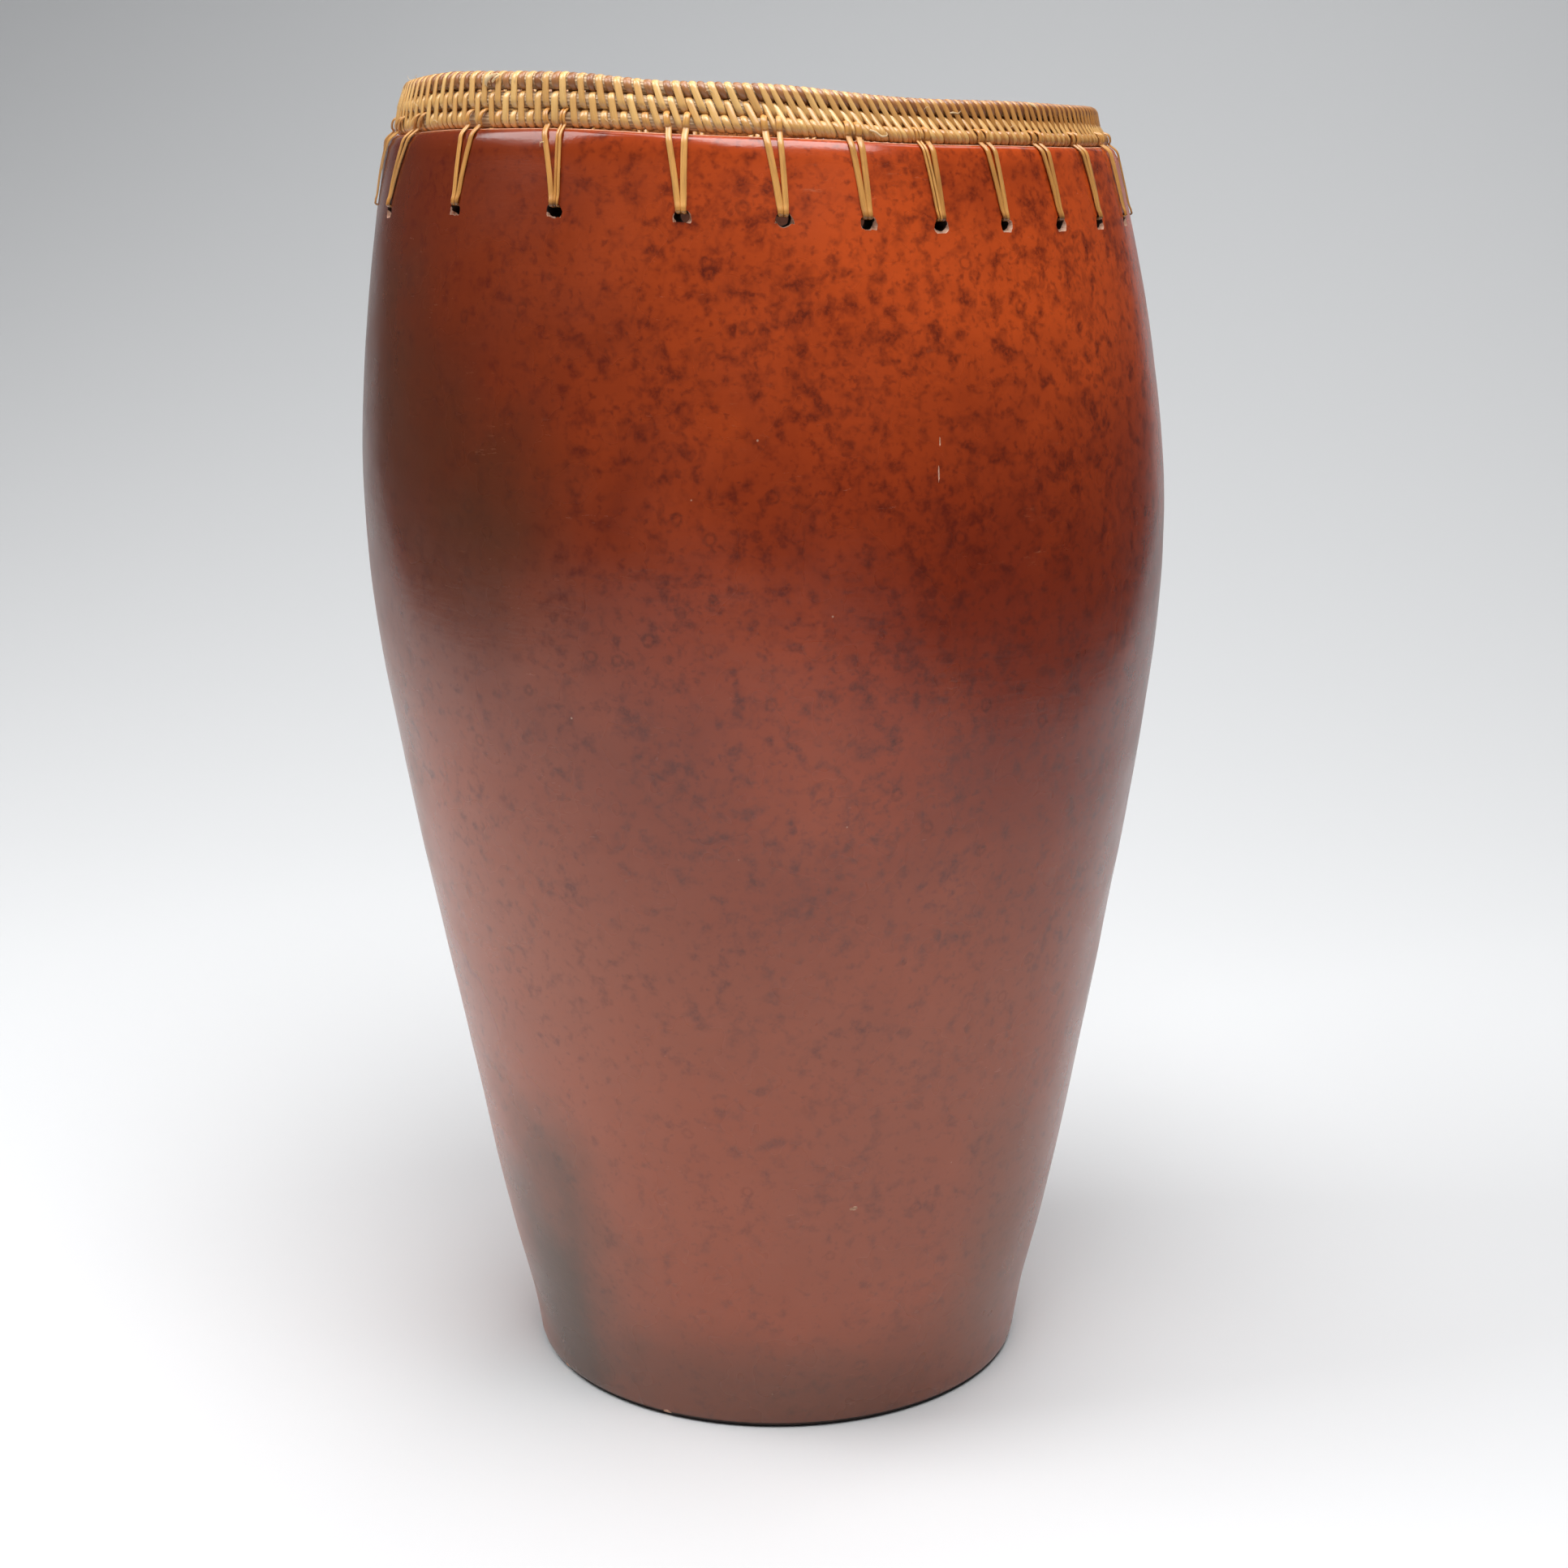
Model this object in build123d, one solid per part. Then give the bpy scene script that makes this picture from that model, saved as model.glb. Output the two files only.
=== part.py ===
from build123d import *
import math
import os

# Hand-built clay jar with an open mouth, and a coiled and stitched rattan collar that is lashed down
# onto its lip through a ring of drilled holes. Millimetres, +Z up, origin at the middle of the foot.

# ---- clay jar ----
JAR_HEIGHT = 383.5      # foot to the crown of the lip, on the axis
BELLY_R = 122.0         # greatest outer radius
BELLY_Z = 283.0         # height of the greatest radius
FOOT_R = 78.2           # radius where the side meets the foot
LIP_R = 107.8           # outer radius at the lip
WALL = 9.0              # wall thickness
BASE_T = 11.0           # thickness of the closed bottom
FOOT_ROUND = 3.0        # rounding of the foot's edge
LIP_ROUND = 3.0         # rounding of both edges of the lip
LEAN = -7.4             # sideways drift of the hand-built axis from foot to lip
LIP_TILT = 1.3          # the lip stands a little higher at -X, degrees

# ---- lashing holes: gaps from each hole to the next, degrees, going round from the first ----
FIRST_HOLE = -81.0      # azimuth of the first hole, 0 is -Y and positive goes towards +X
WIDE_GAPS = (14.0, 21.4, 18.2, 18.3, 13.6)
WIDE_STITCHES = (6, 8, 6, 6, 5)     # long stitches over each wide gap
CLOSE_HOLES = 25        # the rest of the gaps are equal
CLOSE_STITCHES = 7      # long stitches over each of them
HOLE_DROP = 20.5        # hole centre below the crown of the lip
HOLE_D = 4.4

# ---- rattan collar ----
CORE_D = 3.8            # thickness of the bundled core in each row
CORE_R = 103.4          # radius of the bottom row, over the middle of the clay wall
CORE_SHIFT = 0.4        # the bottom row sits this far towards +X
INSET_LEFT = 0.4        # each row steps in by this much on the -X side
INSET_RIGHT = 2.2       # and by this much on the +X side
STRIP_T = 0.4           # thickness of the split rattan strip
STRIP_W = 1.85          # width of the strip where there is room for it
STRIP_FILL = 0.40       # a strip takes at most this share of the stitch pitch
STRIP_SLANT = 8.0       # lean of the stitches, degrees
FIT = 0.05              # clearance between a strip and what it goes round
ROW_EASE = 0.10         # extra rise between rows, because they step in unevenly

# ---- lashings ----
STRAND_W = 1.3          # width of each of the two strands at a hole
STRAND_T = 0.4
STRAND_DROP = 0.5       # the strands leave their hole this far above its middle
STRAND_SPREAD = 0.8     # each strand's middle from the hole's middle, where both go through it
LASH_SWING = -1.6       # the strands meet the collar this far round from their hole, degrees
WALL_GAP = 0.35         # between a strand and the clay

# ---- worked out from the sizes above ----
ROW_PITCH = CORE_D + 2 * STRIP_T + 4 * FIT
ROW_Z = CORE_D / 2 + STRIP_T + 2 * FIT          # bottom row's middle above the lip
STRIP_R = CORE_D / 2 + FIT                      # inside radius of a strip round a core
CLOSE_GAP = (360.0 - sum(WIDE_GAPS)) / CLOSE_HOLES
GAPS = list(WIDE_GAPS) + [CLOSE_GAP] * CLOSE_HOLES
STITCHES = list(WIDE_STITCHES) + [CLOSE_STITCHES] * CLOSE_HOLES
LIP = Location((LEAN, 0, JAR_HEIGHT), (0, LIP_TILT, 0))   # the plane the lip's crown lies in

# Side profile: share of the way up to the belly, or from the belly up to the lip, and the share of
# the change of radius that is done there.
SIDE_BELOW = ((0.0, 0.0), (0.15, 0.2), (0.35, 0.445), (0.55, 0.672), (0.74, 0.872), (0.88, 0.98))
SIDE_ABOVE = ((0.0, 0.0), (0.2, 0.075), (0.45, 0.29), (0.72, 0.58), (1.0, 1.0))
STATION_GAP = 6.0       # a hollow's first section keeps at least this far from the next one


def side_stations(inward):
    """Height, radius and sideways drift of the round sections, moved inward by a wall."""
    out = []
    for up, done in SIDE_BELOW:
        out.append((up * BELLY_Z, FOOT_R + (BELLY_R - FOOT_R) * done - inward))
    for up, done in SIDE_ABOVE:
        out.append((BELLY_Z + up * (JAR_HEIGHT - BELLY_Z), BELLY_R - (BELLY_R - LIP_R) * done - inward))
    return [(z, r, LEAN * (z / JAR_HEIGHT) ** 2) for z, r in out]


def jar_solid(inward, floor, rise):
    """Round, leaning solid of the jar's outside or of its hollow, cut off level with the lip."""
    stations = side_stations(inward)
    rows = [s for s in stations if s[0] > floor + STATION_GAP]
    below = stations[len(stations) - len(rows) - 1]
    after = rows[0]
    share = (floor - below[0]) / (after[0] - below[0])
    start_r = below[1] + (after[1] - below[1]) * share
    sections = [Pos(LEAN * (floor / JAR_HEIGHT) ** 2, 0, floor) * Circle(start_r)]
    sections += [Pos(x, 0, z) * Circle(r) for z, r, x in rows[:-1]]
    sections.append(LIP * Circle(rows[-1][1]))
    solid = loft(sections)
    if rise:
        solid = solid + LIP * Pos(0, 0, rise / 2) * Cylinder(rows[-1][1], rise)
    return solid


def radial(az):
    """Unit vector pointing out from the lip's middle at an azimuth, in the lip's plane."""
    a = math.radians(az)
    return Vector(math.sin(a), -math.cos(a), 0)


def tangent(az):
    a = math.radians(az)
    return Vector(math.cos(a), math.sin(a), 0)


def row_point(row, az):
    """Middle of a row's core at an azimuth, in the lip's plane."""
    side = math.sin(math.radians(az))
    inset = row * ((INSET_LEFT + INSET_RIGHT) + (INSET_RIGHT - INSET_LEFT) * side) / 2
    r = CORE_R + CORE_SHIFT * side - inset
    left = math.sqrt(ROW_PITCH ** 2 - INSET_LEFT ** 2)
    right = math.sqrt(ROW_PITCH ** 2 - INSET_RIGHT ** 2)
    rise = (left + right) / 2 + (right - left) / 2 * side + ROW_EASE
    return radial(az) * r + Vector(0, 0, ROW_Z + row * rise)


def core(row):
    """One row of the collar: a round rattan bundle closed into a ring."""
    left, right = row_point(row, -90), row_point(row, 90)
    middle = (left + right) * 0.5
    drop = math.degrees(math.asin((left.Z - right.Z) / (right.X - left.X)))
    ring = Torus((right.X - left.X) / 2 / math.cos(math.radians(drop)), CORE_D / 2)
    return LIP * Location((middle.X, 0, middle.Z), (0, drop, 0)) * ring


def slots():
    """Azimuth and strip width of every long stitch and of every wrap between two of them."""
    stitch, wrap = [], []
    az = FIRST_HOLE + LASH_SWING
    for gap, count in zip(GAPS, STITCHES):
        step = gap / count
        width = min(STRIP_W, STRIP_FILL * math.radians(step) * CORE_R)
        for i in range(count):
            stitch.append((az + i * step, width))
            wrap.append((az + (i + 0.5) * step, width, i == 0, i == count - 1))
        az += gap
    return stitch, wrap


def slanted_point(row, az):
    """Middle of a row's core where a strip passes it that crosses the middle row at an azimuth."""
    height = row_point(row, az).Z - row_point(1, az).Z
    slip = -height * math.tan(math.radians(STRIP_SLANT))
    return row_point(row, az + math.degrees(slip / CORE_R))


def band(az, lower_row, upper_row, width):
    """Flat strip closed round one core, or round two neighbouring cores."""
    low, high = slanted_point(lower_row, az), slanted_point(upper_row, az)
    across = tangent(az)
    slanted_up = Vector(0, 0, 1) - across * math.tan(math.radians(STRIP_SLANT))
    x_dir = (high - low if lower_row != upper_row else slanted_up).normalized()
    side = across.cross(x_dir).normalized()
    plane = Plane(origin=(low + high) * 0.5, x_dir=x_dir, z_dir=x_dir.cross(side))
    if lower_row != upper_row:
        span = (high - low).length
        outer = SlotCenterToCenter(span, 2 * (STRIP_R + STRIP_T))
        inner = SlotCenterToCenter(span, 2 * STRIP_R)
    else:
        outer, inner = Circle(STRIP_R + STRIP_T), Circle(STRIP_R)
    face = plane * (outer - inner)
    return extrude(face, amount=width / 2, dir=across, both=True)


def wall_radius(solid, az, drop):
    """Distance from the lip's middle line out to a surface of the jar, at a drop below the crown."""
    ray = Axis(origin=(0, 0, -drop), direction=tuple(radial(az))).located(LIP)
    hits = solid.find_intersection_points(ray)
    start = LIP * Pos(0, 0, -drop)
    far = [(p - start.position).dot(ray.direction) for p, _ in hits]
    return max(far)


def strand(hole_az, top_az, side, outer_wall, inner_wall):
    """One loop of a lashing: out of its hole, up the clay, over the bottom row and back inside."""
    low = -HOLE_DROP + STRAND_DROP
    lip_low = -LIP_ROUND
    base = radial(hole_az) * LIP_R + tangent(hole_az) * side + Vector(0, 0, low)
    top = slanted_point(0, top_az)
    half_way = (hole_az + top_az) / 2
    across = tangent(half_way)
    slip = (top - base).dot(across)
    rise = top.Z - low
    out = radial(half_way)
    mid = (low + lip_low) / 2

    def at(radius, z):
        """Point of the loop at a distance out and a height, on its slanted plane."""
        return out * radius + across * (base.dot(across) + slip * (z - low) / rise) + Vector(0, 0, z)

    core_r = top.dot(out)
    r_low_out = outer_wall(hole_az, -low) + WALL_GAP
    r_mid_out = outer_wall(half_way, -mid) + WALL_GAP
    r_lip_out = outer_wall(top_az, -lip_low) + WALL_GAP
    r_low_in = inner_wall(hole_az, -low) - WALL_GAP
    r_lip_in = inner_wall(top_az, -lip_low) - WALL_GAP

    def face(grow):
        """Closed outline in (distance out, height), grown outward by the strand's thickness."""
        ring = STRIP_R + grow
        corners = [(r_lip_in - grow, lip_low), (r_low_in - grow, low - grow), (r_low_out + grow, low - grow),
                   (r_mid_out + grow, mid), (r_lip_out + grow, lip_low)]

        def touch(point, sign):
            """Where a straight run from a point touches the circle round the bottom core."""
            dx, dz = point[0] - core_r, point[1] - top.Z
            a = math.atan2(dz, dx) + sign * math.acos(ring / math.hypot(dx, dz))
            return at(core_r + ring * math.cos(a), top.Z + ring * math.sin(a))

        run = [at(*c) for c in corners]
        run.append(touch(corners[-1], 1))
        end = touch(corners[0], -1)
        edges = [Edge.make_line(a, b) for a, b in zip(run, run[1:])]
        edges.append(Edge.make_three_point_arc(run[-1], at(core_r, top.Z + ring), end))
        edges.append(Edge.make_line(end, run[0]))
        return Face(Wire(edges))

    return extrude(face(STRAND_T) - face(0.0), amount=STRAND_W / 2, dir=across, both=True)


def write(node, shape):
    shape.label = node
    export_step(shape, "parts/" + node + ".step")


os.makedirs("parts", exist_ok=True)

# Jar: outside less hollow, both edges of the lip and the foot's edge rounded, holes drilled level
# with the lip's plane.
outside = jar_solid(0.0, 0.0, 0.0)
hollow = jar_solid(WALL, BASE_T, 5.0)
jar = outside - hollow
lip_edges = [e for e in jar.edges() if e.bounding_box().min.Z > JAR_HEIGHT - 3 * LIP_ROUND]
jar = fillet(lip_edges, LIP_ROUND)
foot_edges = [e for e in jar.edges() if e.bounding_box().max.Z < FOOT_ROUND]
jar = fillet(foot_edges, FOOT_ROUND)

hole_az = [FIRST_HOLE + sum(GAPS[:i]) for i in range(len(GAPS))]
for az in hole_az:
    drill = Cylinder(HOLE_D / 2, 6 * WALL, rotation=(0, 90, 0))
    drill = Location(radial(az) * (LIP_R - WALL / 2) + Vector(0, 0, -HOLE_DROP), (0, 0, az - 90)) * drill
    jar = jar - LIP * drill
write("clay_body", jar)

for row, name in enumerate(("lower", "middle", "upper")):
    write("coil_core_" + name, core(row))

stitch_slots, wrap_slots = slots()
write("stitches_lower", Compound(children=[LIP * band(az, 0, 1, w) for az, w in stitch_slots]))
write("stitches_upper", Compound(children=[LIP * band(az, 1, 2, w) for az, w, _, _ in wrap_slots]))
write("wraps_upper", Compound(children=[LIP * band(az, 2, 2, w) for az, w in stitch_slots]))
write("wraps_lower", Compound(children=[LIP * band(az, 0, 0, w) for az, w, first, last in wrap_slots
                                        if not first and not last]))

# Lashings: the two wrap places next to each hole's own stitch are left to its two strands.
for i, az in enumerate(hole_az):
    before = [p for p in wrap_slots if p[3]][i - 1]
    after = [p for p in wrap_slots if p[2]][i]
    turn = 360.0 if i == 0 else 0.0
    strands = [LIP * strand(az, before[0] - turn, -STRAND_SPREAD,
                            lambda a, d: wall_radius(outside, a, d), lambda a, d: wall_radius(hollow, a, d)),
               LIP * strand(az, after[0], STRAND_SPREAD,
                            lambda a, d: wall_radius(outside, a, d), lambda a, d: wall_radius(hollow, a, d))]
    write("lashing_%02d" % (i + 1), Compound(children=strands))
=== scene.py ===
import math
import random

import bpy
import numpy as np
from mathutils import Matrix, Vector, noise


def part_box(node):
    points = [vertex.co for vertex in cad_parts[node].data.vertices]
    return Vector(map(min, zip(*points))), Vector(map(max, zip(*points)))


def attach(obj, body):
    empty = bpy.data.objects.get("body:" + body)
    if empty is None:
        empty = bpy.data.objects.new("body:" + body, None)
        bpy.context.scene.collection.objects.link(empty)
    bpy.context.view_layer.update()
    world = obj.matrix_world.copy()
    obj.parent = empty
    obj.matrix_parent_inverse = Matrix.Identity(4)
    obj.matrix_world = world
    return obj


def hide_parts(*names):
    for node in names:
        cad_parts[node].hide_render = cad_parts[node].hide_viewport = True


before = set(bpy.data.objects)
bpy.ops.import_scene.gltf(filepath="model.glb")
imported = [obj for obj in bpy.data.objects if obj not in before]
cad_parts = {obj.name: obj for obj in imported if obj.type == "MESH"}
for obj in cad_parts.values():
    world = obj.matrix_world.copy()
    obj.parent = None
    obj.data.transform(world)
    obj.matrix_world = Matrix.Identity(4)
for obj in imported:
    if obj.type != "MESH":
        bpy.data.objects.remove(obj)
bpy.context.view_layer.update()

# A hand-built, burnished clay jar with smoke clouds, and a coiled rattan collar of three rows that is
# stitched together with split strip and lashed down onto the lip through a ring of drilled holes.
# Shapes are worked out in millimetres and written to the meshes in metres.

MM = 0.001

# ---- clay jar, as the CAD has it ----
jar_low, jar_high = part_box("clay_body")
HEIGHT = 383.5                       # foot to the lip's crown, on the axis
BELLY_R = (jar_high.y - jar_low.y) / 2 / MM
FOOT_R = 78.2
LIP_R = 107.8
WALL = 9.0
FLOOR_Z = 11.0
LEAN = -7.4                          # the axis drifts sideways on its way up
LIP_TILT = math.tan(math.radians(1.3))
SIDE = ((0.0, FOOT_R), (8.0, 79.3), (18.0, 81.1), (43.0, 86.9), (100.0, 97.8), (155.0, 107.6),
        (208.0, 116.3), (245.0, 121.0), (283.0, BELLY_R), (320.0, 118.9), (355.0, 113.6), (HEIGHT, LIP_R))
# rise of the lip above its middle, by azimuth, which is 0 at the front and grows towards +X
LIP_RISE = ((-180, -0.8), (-145, 0.6), (-95, 0.4), (-67, 0.5), (-48, 2.2), (-34, 2.6), (-26, 2.45),
            (-14, 1.5), (4.5, 0.0), (23, -1.3), (47, -2.2), (70, -3.0), (110, -3.1), (150, -2.2),
            (180, -0.8))

# ---- lashing holes and stitches round the collar ----
FIRST_HOLE = -81.0
GAPS = [14.0, 21.4, 18.2, 18.3, 13.6, 11.4, 10.8, 10.8, 11.5, 11.2, 12.6]
GAPS += [(360.0 - sum(GAPS)) / 19] * 19
STITCHES = [6, 8, 6, 6, 5] + [7] * 25
HOLES = [FIRST_HOLE + sum(GAPS[:i]) for i in range(len(GAPS))]
HOLE_DROP = 20.5
HOLE_R = 1.9
# strands meet the collar about this far round from their hole, degrees, and further at the left
SWING = -1.6
TOP_SWING = ((-180, SWING), (-115, 2.0), (-93, 10.0), (-81, 9.0), (-67, 6.5), (-45.6, 2.6), (-27.4, -1.0),
             (0, SWING), (60, -2.0), (90, -3.0), (130, SWING), (180, SWING))

# ---- collar rows, bottom first: azimuth, middle's height above the lip, distance out, half height ----
ROWS = (
    ((-180, 2.3, 103.4, 2.3), (-130, 2.4, 103.4, 2.4), (-90, 2.5, 103.0, 2.5), (-60, 2.6, 103.0, 2.55),
     (-40, 2.45, 103.2, 2.45), (-27, 2.4, 103.2, 2.4), (-14, 2.8, 103.3, 2.3), (4, 2.7, 103.4, 2.2),
     (24, 1.95, 103.4, 1.9), (50, 1.8, 103.5, 1.75), (75, 1.8, 103.7, 1.8), (100, 1.9, 103.6, 1.9),
     (140, 2.0, 103.5, 2.0), (180, 2.3, 103.4, 2.3)),
    ((-180, 6.7, 102.4, 2.25), (-130, 7.2, 102.8, 2.4), (-90, 7.5, 102.0, 2.5), (-60, 7.8, 102.3, 2.55),
     (-40, 7.4, 102.7, 2.45), (-27, 7.2, 102.8, 2.4), (-14, 7.3, 102.5, 2.25), (4, 6.5, 101.5, 2.1),
     (24, 5.3, 101.0, 2.0), (50, 5.0, 101.1, 2.0), (75, 5.0, 101.3, 1.95), (100, 5.0, 101.3, 1.9),
     (140, 5.5, 101.6, 2.0), (180, 6.7, 102.4, 2.25)),
    ((-180, 11.0, 101.4, 2.3), (-130, 12.0, 101.9, 2.4), (-90, 12.6, 100.2, 2.5), (-60, 13.1, 100.9, 2.6),
     (-40, 12.4, 102.0, 2.5), (-27, 12.0, 102.3, 2.4), (-14, 11.1, 101.4, 2.25), (4, 11.1, 100.6, 2.3),
     (24, 9.5, 99.9, 2.3), (50, 9.3, 99.9, 2.35), (75, 9.0, 100.0, 2.3), (100, 8.8, 100.0, 2.3),
     (140, 9.5, 100.4, 2.25), (180, 11.0, 101.4, 2.3)))
SLANT = ((-180, 5), (-60, 4), (-40, 5), (-27, 7), (-19, 16), (-9, 25), (2, 28), (16, 31), (27, 29),
         (42, 22), (60, 14), (90, 8), (180, 5))      # lean of the stitches, degrees

COLLAR_R = 103.0                     # about where the rows' middles run
STRIP_W = 2.1
STRIP_T = 0.45
STRAND_W = 1.75
STRAND_T = 0.50
STRAND_R = 112.0                     # about where the strands run past the clay


def spline(points):
    """Smooth curve through points, as a function of the first coordinate."""
    xs = np.array([p[0] for p in points], float)
    ys = np.array([p[1] for p in points], float)
    slope = np.gradient(ys, xs)

    def at(x):
        x = np.clip(x, xs[0], xs[-1])
        i = np.clip(np.searchsorted(xs, x) - 1, 0, len(xs) - 2)
        h = xs[i + 1] - xs[i]
        t = (x - xs[i]) / h
        a, b = 2 * t ** 3 - 3 * t ** 2 + 1, t ** 3 - 2 * t ** 2 + t
        return a * ys[i] + b * h * slope[i] + (1 - a) * ys[i + 1] + (t ** 3 - t ** 2) * h * slope[i + 1]
    return at


def smooth(x, low, high):
    """Soft step from 0 at low to 1 at high; it falls where low is the greater."""
    t = np.clip((np.asarray(x, float) - low) / (high - low), 0.0, 1.0)
    return t * t * (3 - 2 * t)


def turn(az):
    """Azimuth brought between -180 and 180."""
    return (np.asarray(az, float) + 180.0) % 360.0 - 180.0


def lip_share(z):
    """How much of the lip's rise reaches down to a height: all of it at the lip, none from 300 down."""
    return smooth(z, 300, HEIGHT - 4)


side_r = spline(SIDE)
lip_curve = spline(LIP_RISE)
top_swing = spline(TOP_SWING)
slant_curve = spline(SLANT)
ROW_HEIGHT = [spline([(p[0], p[1]) for p in row]) for row in ROWS]
ROW_RADIUS = [spline([(p[0], p[2]) for p in row]) for row in ROWS]
ROW_HALF = [spline([(p[0], p[3]) for p in row]) for row in ROWS]


def lip_rise(az):
    """Height of the lip above its middle, with a slight unevenness from the hand."""
    a = np.radians(az)
    return lip_curve(turn(az)) + 0.12 * np.sin(5 * a + 1.0) + 0.08 * np.sin(11 * a)


def to_world(az, r, z):
    """Point of the jar from an azimuth, a distance from its leaning axis and a height, millimetres."""
    a = np.radians(az)
    x = r * np.sin(a) + LEAN * (np.clip(z, 0, HEIGHT + 30) / HEIGHT) ** 2
    return np.stack([x, -r * np.cos(a), z + 0 * a], -1)


def lip_point(az, r, z):
    """Point above the lip, whose height follows the rise of the lip there."""
    a = np.radians(az)
    x = LEAN + r * np.sin(a) + z * LIP_TILT
    return np.stack([x, -r * np.cos(a), HEIGHT + z + lip_rise(az)], -1)


def side_point(az, r, z):
    """Point beside the lip, above or below its crown; the lip's rise dies out further down."""
    a = np.radians(az)
    drop = np.clip(-z, 0, HEIGHT)
    x = LEAN * (1 - drop / HEIGHT) ** 2 + r * np.sin(a) + np.maximum(z, 0) * LIP_TILT
    return np.stack([x, -r * np.cos(a), HEIGHT + z + lip_rise(az) * lip_share(HEIGHT + z)], -1)


def add_mesh(name, verts, faces, material, smooth_faces=True, slots=None):
    """New object from millimetre points and faces, with its materials."""
    mesh = bpy.data.meshes.new(name)
    mesh.from_pydata((np.asarray(verts) * MM).tolist(), [], [list(map(int, f)) for f in faces])
    for m in (material if isinstance(material, (list, tuple)) else [material]):
        mesh.materials.append(m)
    if slots is not None:
        mesh.polygons.foreach_set("material_index", np.asarray(slots, np.int32))
    mesh.polygons.foreach_set("use_smooth", np.full(len(mesh.polygons), smooth_faces))
    mesh.update()
    piece = bpy.data.objects.new(name, mesh)
    bpy.context.scene.collection.objects.link(piece)
    return piece


def ring_faces(rows, columns, close_rows=False, start=0):
    """Quads of a grid whose columns close on themselves."""
    i = np.arange(rows if close_rows else rows - 1)[:, None]
    j = np.arange(columns)[None, :]
    k, n = (i + 1) % rows, (j + 1) % columns
    corners = (i * columns + j, i * columns + n, k * columns + n, k * columns + j)
    quads = np.stack(np.broadcast_arrays(*corners), -1)
    return quads.reshape(-1, 4) + start


# ---------------------------------------------------------------------------------------------------
# Materials
# ---------------------------------------------------------------------------------------------------

class Nodes:
    """Short way to write a node tree."""

    def __init__(self, tree):
        self.tree = tree

    def add(self, kind, **values):
        node = self.tree.nodes.new(kind)
        for key, value in values.items():
            if key.startswith("in_"):
                socket = node.inputs[int(key[3:]) if key[3:].isdigit() else key[3:].replace("_", " ")]
                if isinstance(value, bpy.types.NodeSocket):
                    self.tree.links.new(value, socket)
                else:
                    socket.default_value = value
            else:
                setattr(node, key, value)
        return node

    def math(self, op, a, b=0.0, c=0.0, clamp=False):
        return self.add("ShaderNodeMath", operation=op, use_clamp=clamp, in_0=a, in_1=b, in_2=c).outputs[0]

    def noise(self, where, scale, detail=3.0, rough=0.5, warp=0.0):
        node = self.add("ShaderNodeTexNoise", in_Vector=where, in_Scale=scale, in_Detail=detail,
                        in_Roughness=rough, in_Distortion=warp)
        return node.outputs["Fac"]

    def ramp(self, value, low, high, to_low=0.0, to_high=1.0):
        node = self.add("ShaderNodeMapRange", interpolation_type="SMOOTHSTEP", in_0=value, in_1=low,
                        in_2=high, in_3=to_low, in_4=to_high)
        return node.outputs[0]

    def mix(self, share, a, b, mode="MIX"):
        node = self.add("ShaderNodeMix", data_type="RGBA", blend_type=mode)
        for socket, value in ((node.inputs[0], share), (node.inputs[6], a), (node.inputs[7], b)):
            if isinstance(value, bpy.types.NodeSocket):
                self.tree.links.new(value, socket)
            else:
                socket.default_value = value
        return node.outputs[2]

    def stretch(self, where, scale):
        node = self.add("ShaderNodeMapping", in_Vector=where)
        node.inputs["Scale"].default_value = scale
        return node.outputs[0]


def new_group(name, inputs, outputs):
    """Empty node group with named sockets."""
    tree = bpy.data.node_groups.new(name, "ShaderNodeTree")
    kinds = {"value": "NodeSocketFloat", "vector": "NodeSocketVector"}
    for label, kind, default in inputs:
        socket = tree.interface.new_socket(label, in_out="INPUT", socket_type=kinds[kind])
        if default is not None:
            socket.default_value = default
    for label, kind in outputs:
        tree.interface.new_socket(label, in_out="OUTPUT", socket_type=kinds[kind])
    n = Nodes(tree)
    return tree, n, n.add("NodeGroupInput"), n.add("NodeGroupOutput")


def cloud_group():
    """Soft-edged cloud round a place, ragged at its edge."""
    tree, n, get, put = new_group(
        "cloud", [("Where", "vector", None), ("Middle", "vector", (0, 0, 0)), ("Size", "vector", (1, 1, 1)),
                  ("Ragged", "value", 0.25), ("Softness", "value", 0.5)], [("Mask", "value")])
    where, middle, size = (get.outputs[k] for k in ("Where", "Middle", "Size"))
    away = n.add("ShaderNodeVectorMath", operation="SUBTRACT", in_0=where, in_1=middle)
    scaled = n.add("ShaderNodeVectorMath", operation="DIVIDE", in_0=away.outputs[0], in_1=size)
    far = n.add("ShaderNodeVectorMath", operation="LENGTH", in_0=scaled.outputs[0]).outputs["Value"]
    rough = n.math("SUBTRACT", n.noise(where, 28.0, 4.0, 0.55), 0.5)
    far = n.math("ADD", far, n.math("MULTIPLY", rough, n.math("MULTIPLY", get.outputs["Ragged"], 4.0)))
    edge = n.math("SUBTRACT", 1.0, get.outputs["Softness"])
    tree.links.new(n.ramp(far, edge, 1.25, 1.0, 0.0), put.inputs["Mask"])
    return tree


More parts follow.
